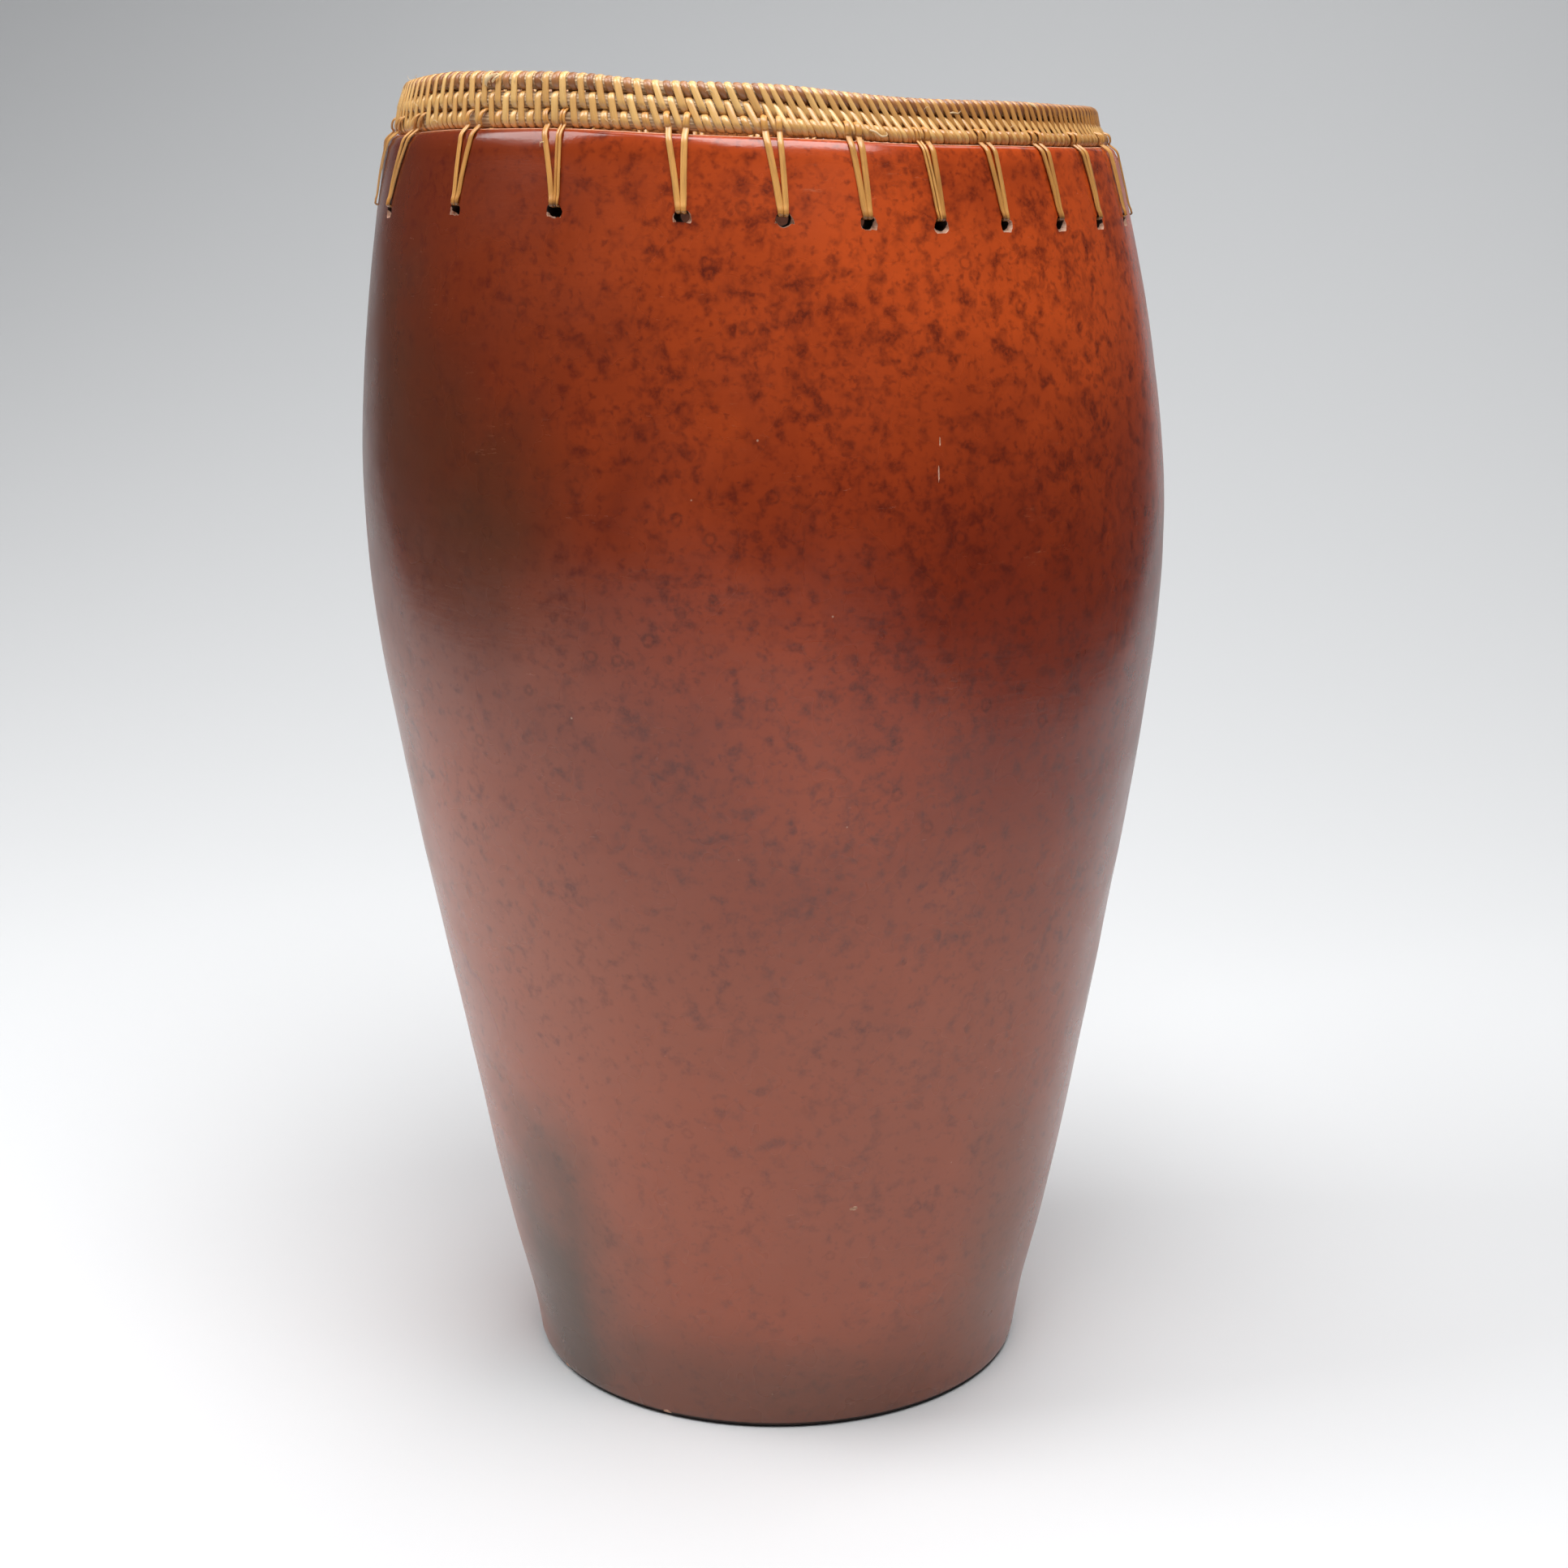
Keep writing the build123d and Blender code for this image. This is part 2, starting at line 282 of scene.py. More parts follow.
def freckle_group():
    """Dark freckles that gather in drifts, with a few small rings among them."""
    tree, n, get, put = new_group(
        "freckles", [("Where", "vector", None), ("Amount", "value", 0.5)],
        [("Freckles", "value"), ("Rings", "value")])
    where, amount = get.outputs["Where"], get.outputs["Amount"]
    drift = n.ramp(n.noise(where, 48.0, 3.0, 0.6), 0.36, 0.66, -0.035, 0.04)
    level = n.math("ADD", drift, n.math("MULTIPLY", n.math("SUBTRACT", amount, 0.5), 0.16))
    coarse = n.math("ADD", n.noise(where, 230.0, 2.0, 0.5, 0.2), level)
    small = n.math("ADD", n.noise(where, 480.0, 2.0, 0.5, 0.2), level)
    spots = n.math("MAXIMUM", n.ramp(coarse, 0.51, 0.82), n.ramp(small, 0.56, 0.82, 0.0, 0.70))
    grain = n.ramp(n.noise(where, 1100.0, 2.0, 0.6), 0.35, 0.60, 0.6, 1.0)
    tree.links.new(n.math("MULTIPLY", spots, grain), put.inputs["Freckles"])
    cells = n.add("ShaderNodeTexVoronoi", in_Vector=where, in_Scale=120.0)
    chosen = n.ramp(n.add("ShaderNodeSeparateColor", in_0=cells.outputs["Color"]).outputs[0], 0.86, 0.89)
    wavy = n.math("ADD", cells.outputs["Distance"],
                  n.math("MULTIPLY", n.math("SUBTRACT", n.noise(where, 420.0, 2.0), 0.5), 0.22))
    ring = n.math("MULTIPLY", n.ramp(wavy, 0.10, 0.17), n.ramp(wavy, 0.19, 0.29, 1.0, 0.0))
    tree.links.new(n.math("MULTIPLY", n.math("MULTIPLY", chosen, ring), grain), put.inputs["Rings"])
    return tree


def streak_group():
    """Long fibres of split rattan, drawn along the strip."""
    tree, n, get, put = new_group(
        "fibre", [("Along", "vector", None), ("Fibres", "value", 14.0)],
        [("Streak", "value"), ("Fine", "value")])
    wide = n.add("ShaderNodeVectorMath", operation="SCALE", in_0=get.outputs["Along"])
    tree.links.new(get.outputs["Fibres"], wide.inputs["Scale"])
    coarse = n.stretch(wide.outputs[0], (0.35, 0.03, 1.0))
    fine = n.stretch(wide.outputs[0], (1.0, 0.045, 1.0))
    tree.links.new(n.noise(coarse, 1.0, 2.0), put.inputs["Streak"])
    tree.links.new(n.noise(fine, 1.0, 3.0, 0.6), put.inputs["Fine"])
    return tree


CLOUD = cloud_group()
FRECKLES = freckle_group()
STREAK = streak_group()


def new_material(name):
    material = bpy.data.materials.new(name)
    material.use_nodes = True
    tree = material.node_tree
    tree.nodes.clear()
    n = Nodes(tree)
    shader = n.add("ShaderNodeBsdfPrincipled")
    out = n.add("ShaderNodeOutputMaterial")
    tree.links.new(shader.outputs[0], out.inputs[0])
    return material, n, shader


def burnished_clay():
    """Orange-red slip rubbed to a satin gloss, with freckles, smoke clouds and fine burnishing strokes, a
    painted reflection of the floor lower down and a painted shade at the foot.
    """
    material, n, shader = new_material("burnished clay")
    link = n.tree.links.new
    where = n.add("ShaderNodeTexCoord").outputs["Object"]
    place = n.add("ShaderNodeSeparateXYZ", in_0=where)
    height, across = place.outputs["Z"], place.outputs["X"]

    def cloud(middle, size, ragged=0.25, softness=0.8):
        node = n.add("ShaderNodeGroup", node_tree=CLOUD, in_Where=where)
        node.inputs["Middle"].default_value = middle
        node.inputs["Size"].default_value = size
        node.inputs["Ragged"].default_value = ragged
        node.inputs["Softness"].default_value = softness
        return node.outputs["Mask"]

    # slip: clear orange high up on the right, deeper red-brown round the belly
    broad = n.noise(where, 11.0, 4.0, 0.6, 0.4)
    deep = n.math("ADD", n.ramp(height, 0.255, 0.345, 0.55, 0.0), n.ramp(across, -0.09, 0.03, 0.35, 0.0))
    below_shoulder = n.ramp(height, 0.255, 0.335, 1.0, 0.0)
    right = n.math("MULTIPLY", n.ramp(across, -0.02, 0.09, 0.0, 0.45), below_shoulder)
    deep = n.math("ADD", deep, n.math("ADD", right, n.ramp(broad, 0.38, 0.66, -0.10, 0.30)), clamp=True)
    color = n.mix(deep, (0.600, 0.080, 0.012, 1), (0.235, 0.026, 0.006, 1))
    patch = n.ramp(n.noise(where, 30.0, 4.0, 0.6, 0.3), 0.45, 0.72)
    color = n.mix(n.math("MULTIPLY", patch, 0.34), color, (0.21, 0.022, 0.005, 1))
    left = n.math("MULTIPLY", n.ramp(across, -0.110, 0.030, 0.82, 0.0), n.ramp(height, 0.18, 0.26))
    color = n.mix(left, color, (0.105, 0.017, 0.005, 1))
    # lower down the slip is painted paler: a painted reflection of the pale floor
    floor_reflection_tone = n.mix(n.noise(where, 22.0, 4.0, 0.6), (0.34, 0.088, 0.042, 1), (0.43, 0.125, 0.064, 1))
    floor_reflection_tone = n.mix(n.ramp(across, -0.10, 0.0, 0.30, 0.0), floor_reflection_tone, (0.56, 0.26, 0.18, 1))
    floor_reflection_edge = n.math("ADD", n.math("MULTIPLY", broad, 0.08), n.math("MULTIPLY", across, 0.30))
    floor_reflection_share = n.ramp(n.math("ADD", height, floor_reflection_edge), 0.17, 0.32, 0.74, 0.0)
    color = n.mix(floor_reflection_share, color, floor_reflection_tone)
    # freckles, thickest from the belly up and towards the right
    low_fade = n.ramp(height, 0.10, 0.26, 0.60, 1.0)
    thick_there = n.math("MULTIPLY", n.ramp(across, -0.10, 0.05, 0.65, 1.0), low_fade)
    freckles = n.add("ShaderNodeGroup", node_tree=FRECKLES, in_Where=where, in_Amount=thick_there)
    deep_tone = n.mix(n.ramp(height, 0.16, 0.28), (0.130, 0.040, 0.030, 1), (0.100, 0.011, 0.005, 1))
    dark = n.math("MULTIPLY", freckles.outputs["Freckles"], n.ramp(height, 0.05, 0.25, 0.60, 0.80))
    color = n.mix(dark, color, deep_tone)
    rings = n.math("MULTIPLY", freckles.outputs["Rings"], n.ramp(height, 0.10, 0.25, 0.20, 0.40))
    color = n.mix(rings, color, (0.060, 0.010, 0.006, 1))
    # smoke clouds, and a painted shade along the front of the foot
    for middle, size, tone, share in (
            ((-0.066, -0.050, 0.034), (0.028, 0.055, 0.078), (0.085, 0.058, 0.040, 1), 0.88),
            ((-0.074, -0.095, 0.292), (0.028, 0.040, 0.026), (0.070, 0.026, 0.011, 1), 0.40),
            ((-0.086, -0.084, 0.272), (0.036, 0.044, 0.032), (0.080, 0.036, 0.018, 1), 0.38),
            ((-0.101, -0.062, 0.305), (0.032, 0.050, 0.045), (0.080, 0.028, 0.012, 1), 0.45),
            ((-0.112, -0.020, 0.215), (0.016, 0.050, 0.110), (0.150, 0.090, 0.065, 1), 0.30),
            ((-0.118, -0.030, 0.330), (0.030, 0.060, 0.060), (0.100, 0.040, 0.022, 1), 0.55),
            # wide dark band low across the front: painted shade at the foot
            ((0.000, -0.080, 0.008), (0.100, 0.060, 0.030), (0.110, 0.055, 0.036, 1), 0.60),
            ((0.070, -0.060, 0.040), (0.022, 0.050, 0.070), (0.150, 0.085, 0.055, 1), 0.45),
            ((0.045, 0.105, 0.120), (0.055, 0.050, 0.080), (0.080, 0.060, 0.045, 1), 0.80),
            ((0.060, 0.090, 0.300), (0.060, 0.050, 0.050), (0.090, 0.035, 0.018, 1), 0.60)):
        color = n.mix(n.math("MULTIPLY", cloud(middle, size), share), color, tone)
    # rubbed places, and pin-point chips that show the pale body
    rub = n.noise(n.stretch(where, (140.0, 140.0, 700.0)), 1.0, 4.0, 0.7)
    rubbed = n.math("MULTIPLY", n.ramp(rub, 0.60, 0.78), n.ramp(n.noise(where, 36.0, 2.0), 0.52, 0.70))
    pale = n.math("MULTIPLY", rubbed, n.ramp(height, 0.2, 0.3, 0.15, 0.40))
    color = n.mix(pale, color, (0.60, 0.24, 0.12, 1))
    chips = n.add("ShaderNodeTexVoronoi", in_Vector=where, in_Scale=150.0)
    few = n.ramp(n.add("ShaderNodeSeparateColor", in_0=chips.outputs["Color"]).outputs[1], 0.93, 0.95)
    chip = n.math("MULTIPLY", n.ramp(chips.outputs["Distance"], 0.03, 0.06, 1.0, 0.0), few)
    color = n.mix(n.math("MULTIPLY", chip, 0.6), color, (0.62, 0.40, 0.28, 1))
    link(color, shader.inputs["Base Color"])

    gloss = n.noise(where, 26.0, 3.0, 0.6)
    rough = n.math("ADD", n.ramp(gloss, 0.3, 0.75, 0.24, 0.33), n.math("MULTIPLY", rubbed, 0.15))
    rough = n.math("SUBTRACT", rough, n.ramp(height, 0.376, 0.381, 0.0, 0.10))
    link(rough, shader.inputs["Roughness"])
    shader.inputs["IOR"].default_value = 1.52
    strokes = n.noise(n.stretch(where, (60.0, 60.0, 420.0)), 1.0, 3.0, 0.6)
    pits = n.noise(where, 900.0, 2.0, 0.6)
    lift = n.math("ADD", n.math("MULTIPLY", strokes, 0.7), n.math("MULTIPLY", pits, 0.3))
    bump = n.add("ShaderNodeBump", in_Height=lift)
    bump.inputs["Strength"].default_value = 0.22
    bump.inputs["Distance"].default_value = 0.0003
    link(bump.outputs[0], shader.inputs["Normal"])
    return material


def raw_clay(name, light, dark, grain):
    """Broken or unburnished clay."""
    material, n, shader = new_material(name)
    where = n.add("ShaderNodeTexCoord").outputs["Object"]
    color = n.mix(n.ramp(n.noise(where, grain, 5.0, 0.7), 0.35, 0.68), light, dark)
    n.tree.links.new(color, shader.inputs["Base Color"])
    shader.inputs["Roughness"].default_value = 0.85
    bump = n.add("ShaderNodeBump", in_Height=n.noise(where, grain * 1.6, 4.0, 0.7))
    bump.inputs["Strength"].default_value = 0.6
    bump.inputs["Distance"].default_value = 0.0004
    n.tree.links.new(bump.outputs[0], shader.inputs["Normal"])
    return material


def rattan(name, pale, deep, dark, fibres, rough, lines=0.4, coat=0.0):
    """Peeled rattan with fibres along the piece, and a tone for each strip that is dark below nought."""
    material, n, shader = new_material(name)
    link = n.tree.links.new
    along = n.add("ShaderNodeUVMap", uv_map="along").outputs[0]
    tone = n.add("ShaderNodeAttribute", attribute_name="tone").outputs["Fac"]
    streak = n.add("ShaderNodeGroup", node_tree=STREAK, in_Along=along)
    streak.inputs["Fibres"].default_value = fibres
    color = n.mix(tone, deep, pale)
    # a tone below nought turns towards the dark colour: the browner courses and the strands at the holes
    # get painted shade this way
    color = n.mix(n.ramp(tone, -1.0, 0.0, 0.95, 0.0), color, dark)
    color = n.mix(n.ramp(streak.outputs["Streak"], 0.40, 0.75, 0.0, lines), color, dark)
    color = n.mix(n.ramp(streak.outputs["Fine"], 0.52, 0.74, 0.0, lines), color, dark)
    link(color, shader.inputs["Base Color"])
    link(n.ramp(streak.outputs["Fine"], 0.3, 0.7, rough - 0.06, rough + 0.12), shader.inputs["Roughness"])
    bump = n.add("ShaderNodeBump", in_Height=streak.outputs["Fine"])
    bump.inputs["Strength"].default_value = 0.5
    bump.inputs["Distance"].default_value = 0.00015
    link(bump.outputs[0], shader.inputs["Normal"])
    shader.inputs["Coat Weight"].default_value = coat
    shader.inputs["Coat Roughness"].default_value = 0.16
    return material


CLAY = burnished_clay()
CHIPPED = raw_clay("chipped clay", (0.80, 0.52, 0.38, 1), (0.62, 0.33, 0.21, 1), 700.0)
# near-black clay for the foot's bottom edge and the drilled walls: sooted clay, painted darker still as
# shade
SOOT_AND_SHADE = raw_clay("sooted clay and painted shade", (0.045, 0.022, 0.014, 1), (0.020, 0.011, 0.008, 1), 300.0)
INSIDE = raw_clay("unburnished clay", (0.24, 0.085, 0.045, 1), (0.13, 0.050, 0.030, 1), 120.0)
LIP_EDGE = raw_clay("bare lip", (0.70, 0.36, 0.22, 1), (0.50, 0.20, 0.11, 1), 500.0)
CORE = rattan("rattan core", pale=(0.88, 0.64, 0.38, 1), deep=(0.46, 0.25, 0.11, 1),
              dark=(0.12, 0.055, 0.025, 1), fibres=5.0, rough=0.42, lines=0.6)
STRIP = rattan("rattan strip", pale=(0.92, 0.57, 0.21, 1), deep=(0.62, 0.28, 0.075, 1),
               dark=(0.30, 0.105, 0.026, 1), fibres=3.0, rough=0.26, lines=0.22, coat=0.5)
# darker red-brown strip for the top row's wraps: partly its own colour, partly painted shade where the
# wraps sit deeper between the stitches
RED_STRIP_AND_SHADE = rattan("red-brown strip with painted shade", pale=(0.56, 0.25, 0.09, 1), deep=(0.29, 0.105, 0.036, 1),
                   dark=(0.15, 0.045, 0.016, 1), fibres=3.0, rough=0.33, lines=0.3, coat=0.4)
LASHING = rattan("rattan lashing", pale=(0.82, 0.42, 0.12, 1), deep=(0.60, 0.26, 0.060, 1),
                 dark=(0.13, 0.050, 0.018, 1), fibres=3.0, rough=0.28, lines=0.3, coat=0.3)
FIBRE = rattan("loose fibre", pale=(0.82, 0.62, 0.36, 1), deep=(0.66, 0.42, 0.20, 1),
               dark=(0.40, 0.20, 0.08, 1), fibres=3.0, rough=0.5, lines=0.2)


# ---------------------------------------------------------------------------------------------------
# Clay jar
# ---------------------------------------------------------------------------------------------------

def hand_wobble(points, amounts):
    """Slight unevenness left by hand work: noise at several widths, in millimetres."""
    out = np.zeros(len(points))
    for width, amount in amounts:
        out += amount * np.array([noise.noise(Vector(p / width)) for p in points])
    return out


def jar_shell():
    """The jar as one closed skin: side, lip, inside, floor, underside and foot edge."""
    columns = 420
    side_rows = 150
    az = np.linspace(-180, 180, columns, endpoint=False)
    rise = lip_rise(az)
    rows, kinds = [], []

    def add(r, z, lift, kind):
        rows.append((r, z, lift))
        kinds.append(kind)

    # underside, slightly hollow, then the foot's rounded edge, bare at the bottom and painted near-black
    # there: dark clay with painted contact shade
    for r in np.linspace(6, FOOT_R - 4.0, 12):
        add(r, 0.6 * (1 - smooth(r, 50, 72)), 0.0, 2)
    for a in np.radians([0, 25, 50, 66, 80]):
        add(FOOT_R - 2.8 + 3.0 * math.sin(a), 3.0 - 3.0 * math.cos(a), 0.0, 1 if a < 1.2 else 0)
    for z in np.linspace(3.4, HEIGHT - 3.0, side_rows):
        add(float(side_r(z)), z, lip_share(z), 0)
    # lip: rounded outer edge, a slightly crowned top and a rounded inner edge
    for a in np.radians([15, 32, 50, 68, 84]):
        add(LIP_R - 2.4 + 2.5 * math.cos(a), HEIGHT - 2.6 + 2.6 * math.sin(a), 1.0, 0 if a < 1.3 else 3)
    for r in (LIP_R - 3.4, LIP_R - 4.4, LIP_R - 5.6):
        add(r, HEIGHT, 1.0, 3)
    for a in np.radians([80, 55, 30, 8]):
        add(LIP_R - WALL + 2.6 - 2.7 * math.cos(a), HEIGHT - 3.0 + 3.0 * math.sin(a), 1.0, 3)
    for z in np.linspace(HEIGHT - 4.2, FLOOR_Z + 7.0, 60):
        add(float(side_r(z)) - WALL, z, lip_share(z), 2)
    corner = float(side_r(FLOOR_Z + 7.0)) - WALL
    for a in np.radians([18, 38, 60, 82]):
        add(corner - 7.0 + 7.0 * math.cos(a), FLOOR_Z + 7.0 - 7.0 * math.sin(a), 0.0, 2)
    for r in np.linspace(corner - 12, 5, 8):
        add(r, FLOOR_Z, 0.0, 2)

    r = np.array([w[0] for w in rows])[:, None] + 0 * az
    z = np.array([w[1] for w in rows])[:, None] + np.array([w[2] for w in rows])[:, None] * rise
    points = to_world(np.broadcast_to(az, r.shape), r, z)
    flat = points.reshape(-1, 3)
    wobble = hand_wobble(flat, ((70.0, 0.45), (24.0, 0.16), (9.0, 0.05))).reshape(r.shape)
    ease = smooth(z, 2.0, 25.0) * (1 - 0.6 * smooth(z, HEIGHT - 8, HEIGHT))
    a = np.radians(az)
    points[..., 0] += wobble * ease * np.sin(a)
    points[..., 1] -= wobble * ease * np.cos(a)
    verts = points.reshape(-1, 3)
    faces = [tuple(f) for f in ring_faces(len(rows), columns)]
    kinds_of = list(np.repeat(kinds[1:], columns))
    low_mid, high_mid = len(verts), len(verts) + 1
    verts = np.vstack([verts, [[0, 0, 0.6], [verts[-columns:, 0].mean(), 0, FLOOR_Z]]])
    last = (len(rows) - 1) * columns
    for j in range(columns):
        n = (j + 1) % columns
        faces.append((low_mid, n, j))
        faces.append((high_mid, last + j, last + n))
        kinds_of += [2, 2]
    return add_mesh("clay_jar", verts, faces, [CLAY, SOOT_AND_SHADE, INSIDE, LIP_EDGE, CHIPPED], slots=kinds_of)


def cutter(name, stations, columns, rnd, material, ragged=0.05, squash=1.0):
    """Ragged plug made of rings: each station is a middle, directions along and up, and a radius."""
    waves = [(k, rnd.uniform(0, 6.28), rnd.uniform(0.6, 1.2)) for k in (2, 3, 5, 8)]
    a = np.arange(columns) * 2 * math.pi / columns
    rough = 1 + ragged * sum(s * np.sin(k * a + p) for k, p, s in waves)
    verts = []
    for middle, u, v, r in stations:
        reach = rough * r
        verts.append(middle + np.outer(reach * np.cos(a), u) + np.outer(reach * squash * np.sin(a), v))
    faces = [tuple(f) for f in ring_faces(len(stations), columns)]
    faces.append(tuple(range(columns))[::-1])
    faces.append(tuple(range((len(stations) - 1) * columns, len(stations) * columns)))
    return add_mesh(name, np.vstack(verts), faces, material)


def surface_place(az, z):
    """Place on the outside of the jar, with the directions out and along."""
    z_here = z + float(lip_rise(az)) * float(lip_share(z))
    p = to_world(az, float(side_r(z)), z_here)
    a = math.radians(az)
    return p, np.array([math.sin(a), -math.cos(a), 0.0]), np.array([math.cos(a), math.sin(a), 0.0])


def drill_holes(jar):
    """Lashing holes with the ragged rims that drilling broke round them, and a few nicks elsewhere."""
    up = np.array([0.0, 0.0, 1.0])
    drills, nicks = [], []
    for i, az in enumerate(HOLES):
        rnd = random.Random(100 + i)
        p, out, along = surface_place(az, HEIGHT - HOLE_DROP)
        r = HOLE_R * rnd.uniform(0.94, 1.06)
        # drilled walls painted near-black: sooted clay and painted shade deep inside the hole
        drills.append(cutter("drill", [(p + out * d, along, up, r * f) for d, f in
                                       ((-16.0, 0.95), (-8.0, 0.96), (-0.6, 1.0), (0.1, 1.04), (1.5, 1.1))],
                             24, rnd, SOOT_AND_SHADE, 0.03))
        rim = p + along * rnd.uniform(-0.3, 0.4) - up * rnd.uniform(0.45, 0.70)
        wide = r * rnd.uniform(0.98, 1.08)
        nicks.append(cutter("rim", [(rim + out * d + up * s, along, up, wide * f) for d, f, s in
                                    ((-1.6, 0.70, 0.5), (-0.8, 0.96, 0.15), (-0.25, 1.10, 0.0),
                                     (0.4, 1.20, 0.0))],
                            30, rnd, CHIPPED, 0.035))
    for az, z, wide, tall, deep in ((14.2, 78.3, 1.1, 0.6, 0.5), (23.2, 297.9, 0.22, 2.2, 0.25),
                                    (23.6, 306.0, 0.22, 1.2, 0.22), (-59.0, 1.2, 1.6, 1.2, 1.0),
                                    (-25.6, 1.0, 1.5, 1.2, 1.0), (-40.0, 0.6, 1.0, 0.8, 0.8),
                                    (131.0, 120.0, 1.4, 0.8, 0.5), (-150.0, 240.0, 0.9, 0.7, 0.4)):
        rnd = random.Random(int(900 + az))
        p, out, along = surface_place(az, z)
        nicks.append(cutter("nick", [(p + out * d, along, up, wide * f) for d, f in
                                     ((-deep, 0.3), (-deep * 0.5, 0.85), (0.1, 1.15), (0.7, 1.3))],
                            16, rnd, CHIPPED, 0.10, tall / wide))
    for tools in (nicks, drills):
        cut_with(jar, tools)


def cut_with(target, tools):
    """Takes the tools' shapes out of the target, whose cut faces get the tools' finish."""
    bpy.context.view_layer.objects.active = tools[0]
    for o in bpy.context.selected_objects:
        o.select_set(False)
    for o in tools:
        o.select_set(True)
    bpy.ops.object.join()
    tool = bpy.context.view_layer.objects.active
    change = target.modifiers.new("cut", "BOOLEAN")
    change.operation = "DIFFERENCE"
    change.solver = "EXACT"
    change.material_mode = "TRANSFER"
    change.object = tool
    bpy.context.view_layer.update()
    seen = bpy.context.evaluated_depsgraph_get()
    mesh = bpy.data.meshes.new_from_object(target.evaluated_get(seen))
    target.modifiers.clear()
    mesh.set_sharp_from_angle(angle=math.radians(32))
    target.data = mesh
    bpy.data.objects.remove(tool)


# ---------------------------------------------------------------------------------------------------
# Rattan collar
# ---------------------------------------------------------------------------------------------------

def row_point(row, az):
    """Distance from the lip's middle and height above the lip of a row's middle."""
    t = turn(az)
    return ROW_RADIUS[row](t), ROW_HEIGHT[row](t)


def thick(row, az):
    """Radius of a row's bundled core, inside its strips."""
    return ROW_HALF[row](turn(az)) - STRIP_T


def add_uv(mesh, uv_of_vertex, tone_of_vertex):
    """Strip coordinates and a tone for every vertex."""
    layer = mesh.uv_layers.new(name="along")
    corner = np.zeros(len(mesh.loops), np.int32)
    mesh.loops.foreach_get("vertex_index", corner)
    layer.data.foreach_set("uv", np.asarray(uv_of_vertex, np.float32)[corner].ravel())
    tone = mesh.attributes.new("tone", "FLOAT", "POINT")
    tone.data.foreach_set("value", np.asarray(tone_of_vertex, np.float32))


def core_ring(row, name):
    """Bundled core: a ring of fine split canes that show as ridges along it and fill up to the next row."""
    columns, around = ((720, 60))
    az = np.linspace(-180, 180, columns, endpoint=False)
    r0, z0 = row_point(row, az)
    verts, uv, tones = [], [], []
    canes = 14
    for k in range(around):
        a = 2 * math.pi * k / around
        drift = 0.25 * np.sin(np.radians(az) * 3 + row)
        phase = (a + drift) * canes / 2
        ridge = np.abs(np.sin(phase))
        r = thick(row, az) * (0.92 + 0.09 * ridge)
        verts.append(lip_point(az, r0 + r * math.cos(a), z0 + (r + 0.22) * math.sin(a)))
        uv.append(np.stack([np.full(columns, a * 2.0), np.radians(az) * COLLAR_R], -1))
        # crests of the canes painted lighter and the grooves between them darker: painted highlight and
        # shade; the last term is each cane's own tone
        tones.append(0.35 + 0.35 * ridge + 0.15 * np.sin(np.floor(phase / math.pi) * 2.4 + az * 0.02))
    verts = np.array(verts).reshape(-1, 3)
    piece = add_mesh(name, verts, ring_faces(around, columns, True)[:, ::-1], CORE)
    add_uv(piece.data, np.array(uv).reshape(-1, 2), np.array(tones).ravel())
    return piece


SECTION = ((-1.0, 0.0), (-0.93, 0.50), (-0.62, 0.88), (0.0, 1.08), (0.62, 0.88), (0.93, 0.50), (1.0, 0.0),
           (0.62, -0.04), (0.0, -0.04), (-0.62, -0.04))


def hull_path(centres, radii, steps):
    """Closed path round one or two circles, in (distance out, height), starting at the bottom."""
    (low_x, low_z), (high_x, high_z) = centres[0], centres[-1]
    base = math.atan2(high_z - low_z, high_x - low_x) if len(centres) > 1 else math.pi / 2
    out = []
    half = steps // 2
    for cx, cz, r, start in ((low_x, low_z, radii[0], base + math.pi / 2),
                             (high_x, high_z, radii[-1], base - math.pi / 2)):
        for k in range(half):
            a = start + math.pi * k / (half - 1)
            out.append((cx + r * math.cos(a), cz + r * math.sin(a), math.cos(a), math.sin(a)))
        if len(centres) == 1:
            out.pop()
    return np.array(out)


def sweep_section(path_r, path_z, out_r, out_z, centre_az, half_width, side_shift, thickness, place):
    """Points of a strip's section carried along a path, with its strip coordinates."""
    length = np.concatenate([[0], np.cumsum(np.hypot(np.diff(path_r), np.diff(path_z)))])
    verts, uv = [], []
    for w, t in SECTION:
        r = path_r + out_r * t * thickness
        z = path_z + out_z * t * thickness
        side = w * half_width + side_shift
        verts.append(place(centre_az + np.degrees(side / np.maximum(r, 50)), r, z))
        uv.append(np.stack([w * half_width + 0 * length, length], -1))
    return np.array(verts), np.array(uv)


class Strips:
    """Gathers closed strips into one mesh."""

    def __init__(self):
        self.verts, self.uvs, self.tones, self.faces, self.count = [], [], [], [], 0

    def add(self, verts, uv, tone, rnd):
        m, n = verts.shape[:2]
        self.faces.append(ring_faces(m, n, True, self.count))
        self.verts.append(verts.reshape(-1, 3))
        self.uvs.append(uv.reshape(-1, 2) + [rnd.uniform(0, 50), rnd.uniform(0, 500)])
        self.tones.append(np.broadcast_to(tone, (m, n)).ravel())
        self.count += m * n

    def piece(self, name, material):
        made = add_mesh(name, np.vstack(self.verts), np.vstack(self.faces), material)
        add_uv(made.data, np.vstack(self.uvs), np.concatenate(self.tones))
        return made


